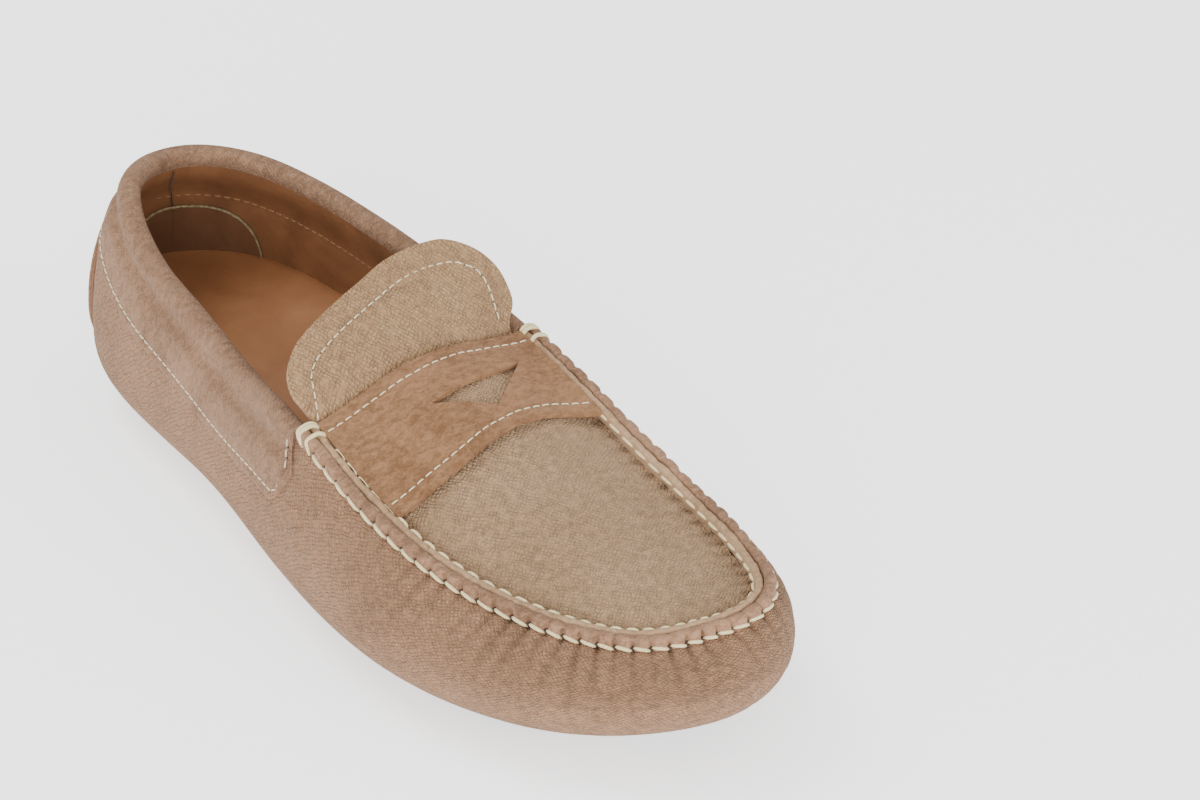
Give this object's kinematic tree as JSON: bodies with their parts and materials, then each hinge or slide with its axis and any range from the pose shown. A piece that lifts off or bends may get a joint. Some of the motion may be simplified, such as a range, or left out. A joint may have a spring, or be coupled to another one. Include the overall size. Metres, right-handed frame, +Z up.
{
  "type": "driving moccasin",
  "caption": "Open leather driving moccasin with a raised apron seam, slotted saddle strap, rounded tongue, padded collar and studded rubber pads.",
  "frame": {"origin": "on the floor, in the middle of the heel's tread", "axes": "+X towards the toe, +Y towards the inner side of the foot, +Z up"},
  "size_m": [0.2898, 0.1038, 0.0776],
  "materials": {
    "suede": "embossed taupe suede, matt",
    "collar_suede": "taupe suede, matt, tan lining inside",
    "seam_suede": "taupe suede with raw cut edges",
    "apron_leather": "khaki beige leather with a fine woven grain, matt",
    "strap_suede": "napped suede, matt",
    "tongue_leather": "khaki beige leather with a fine woven grain, matt",
    "tab_suede": "taupe suede, matt",
    "insole_leather": "smooth tan leather, satin",
    "sole_rubber": "black rubber, satin"
  },
  "bodies": {
    "root": {"upper": "suede", "collar": "collar_suede", "seam_ridge": "seam_suede", "apron": "apron_leather", "strap": "strap_suede", "tongue": "tongue_leather", "heel_tab": "tab_suede", "insole": "insole_leather", "sole_heel": "sole_rubber", "sole_forefoot": "sole_rubber", "sole_toe": "sole_rubber"}
  },
  "joints": []
}
